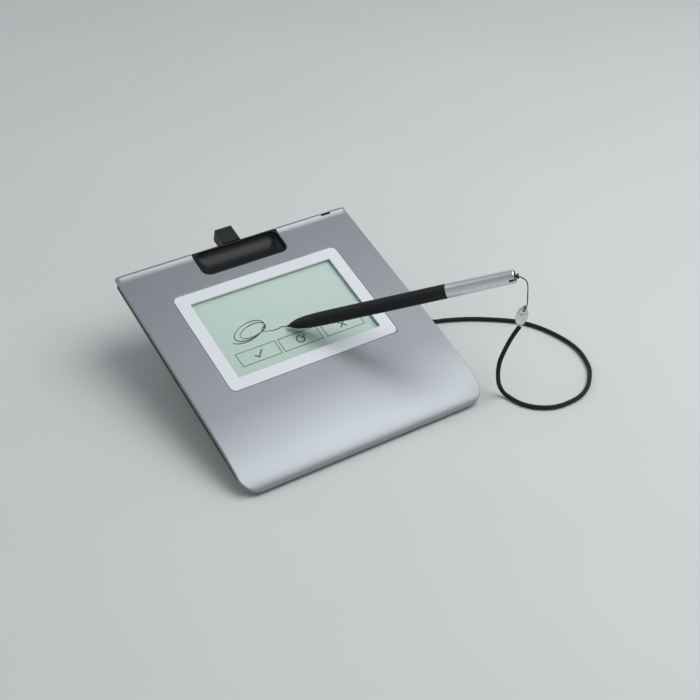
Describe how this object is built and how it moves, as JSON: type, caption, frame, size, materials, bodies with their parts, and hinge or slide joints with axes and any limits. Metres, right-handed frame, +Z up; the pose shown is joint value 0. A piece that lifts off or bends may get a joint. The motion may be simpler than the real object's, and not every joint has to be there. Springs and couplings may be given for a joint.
{
  "type": "signature pad",
  "caption": "Signature pad with a framed reflective display, a pen tray and a port block, held at a slope by a bent stand, with a pen on a cord, a clear bead and a string.",
  "frame": {"origin": "middle of the rubber strip under the stand, in the plane of the table", "axes": "+X to the right of the person who signs, +Y away from that person, +Z up from the table"},
  "size_m": [0.2426, 0.2043, 0.0881],
  "materials": {
    "silver_cover": "silver-grey moulded plastic, fine satin texture",
    "black_cover": "black moulded plastic, fine satin texture",
    "white_bezel": "near-white frame, smooth",
    "display_glass": "clear writing plate, lightly matted against glare",
    "display_panel": "grey-green reflective screen",
    "frame_plastic": "dark moulded plastic",
    "circuit_board": "green circuit board",
    "shield_steel": "thin tinned sheet",
    "tray_black": "black polished plastic",
    "lock_steel": "plain steel plate",
    "port_steel": "drawn steel shell",
    "chip_black": "moulded chip body",
    "crystal_steel": "small steel can",
    "connector_cream": "cream connector body",
    "ribbon_amber": "amber flexible film",
    "harness_jacket": "black insulated wire",
    "black_screw": "black steel screw",
    "board_screw": "zinc-plated steel screw",
    "foot_rubber": "matt black rubber",
    "stand_steel": "black powder-coated steel strip",
    "anchor_black": "black moulded plastic",
    "pen_black": "black moulded plastic, fine satin texture",
    "nib_grey": "dark grey slippery plastic",
    "ferrite": "dark grey sintered ferrite, cast iron stands in for it",
    "coil_copper": "enamelled copper winding, brass stands in for it",
    "sensor_metal": "small metal can",
    "pen_silver": "silver satin tube",
    "cord_black": "black round cord",
    "bead_clear": "clear moulded plastic",
    "string_dark": "thin dark twisted string"
  },
  "bodies": {
    "pad": {"top_cover": "silver_cover", "bottom_cover": "black_cover", "display_bezel": "white_bezel", "display_glass": "display_glass", "display_panel": "display_panel", "display_frame": "frame_plastic", "sensor_board": "circuit_board", "shield_plate": "shield_steel", "pen_tray": "tray_black", "lock_plate": "lock_steel", "port_housing": "black_cover", "port_board": "circuit_board", "data_port": "port_steel", "main_board": "circuit_board", "controller_chip": "chip_black", "memory_chip": "chip_black", "clock_crystal": "crystal_steel", "display_connector": "connector_cream", "sensor_connector": "connector_cream", "display_ribbon": "ribbon_amber", "sensor_ribbon": "ribbon_amber", "harness_header": "connector_cream", "port_harness": "harness_jacket", "case_screw_1": "black_screw", "case_screw_2": "black_screw", "case_screw_3": "black_screw", "case_screw_4": "black_screw", "case_screw_5": "black_screw", "case_screw_6": "black_screw", "board_screw_left": "board_screw", "board_screw_right": "board_screw", "front_foot_left": "foot_rubber", "front_foot_right": "foot_rubber", "stand_screw_left": "black_screw", "stand_screw_right": "black_screw", "stand": "stand_steel", "stand_foot": "foot_rubber", "tether_anchor": "anchor_black", "anchor_screw": "black_screw", "tether_cord": "cord_black"},
    "pen": {"pen_front_barrel": "pen_black", "pen_ferrite": "ferrite", "pen_coil": "coil_copper", "pen_pressure_sensor": "sensor_metal", "pen_carrier": "frame_plastic", "pen_board": "circuit_board", "pen_rear_barrel": "pen_silver", "pen_end_plug": "pen_black", "tether_bead": "bead_clear", "tether_string": "string_dark"},
    "nib": {"pen_nib": "nib_grey"}
  },
  "joints": [
    {"name": "pen_lift", "type": "slide", "parent": "pad", "child": "pen", "axis": [0, -0.2639, 0.9646], "range_m": [0, 0.014]},
    {"name": "nib_press", "type": "slide", "parent": "pen", "child": "nib", "axis": [0.6981, -0.6211, 0.3561], "range_m": [0, 0.0005], "stiffness_N_per_m": 1000}
  ]
}
